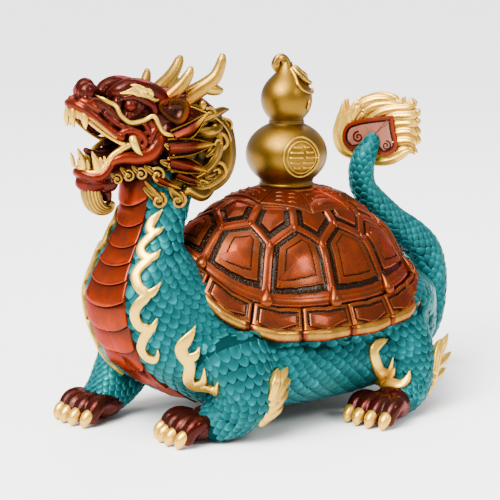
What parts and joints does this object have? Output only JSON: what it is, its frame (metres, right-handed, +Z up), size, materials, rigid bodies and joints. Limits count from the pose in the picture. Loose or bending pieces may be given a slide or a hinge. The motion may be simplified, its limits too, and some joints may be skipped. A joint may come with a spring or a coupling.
{
  "type": "dragon turtle figure",
  "caption": "Cast dragon turtle standing on four paws, with a dragon's head, a domed scute-patterned shell, a flame-tufted tail and a double gourd on its back.",
  "frame": {"origin": "centre of the figure's box, on the floor under its paws", "axes": "+Z up, -Y the way that the animal faces, +X its left side"},
  "size_m": [0.1488, 0.2432, 0.1796],
  "materials": {
    "body": "cast metal in teal and red lacquer with satin brass trims",
    "shell": "cast metal in glossy copper red lacquer, dark in the grooves",
    "gourd": "satin brass, brown in the recesses"
  },
  "bodies": {
    "root": {"body": "body", "shell": "shell", "gourd": "gourd"}
  },
  "joints": []
}
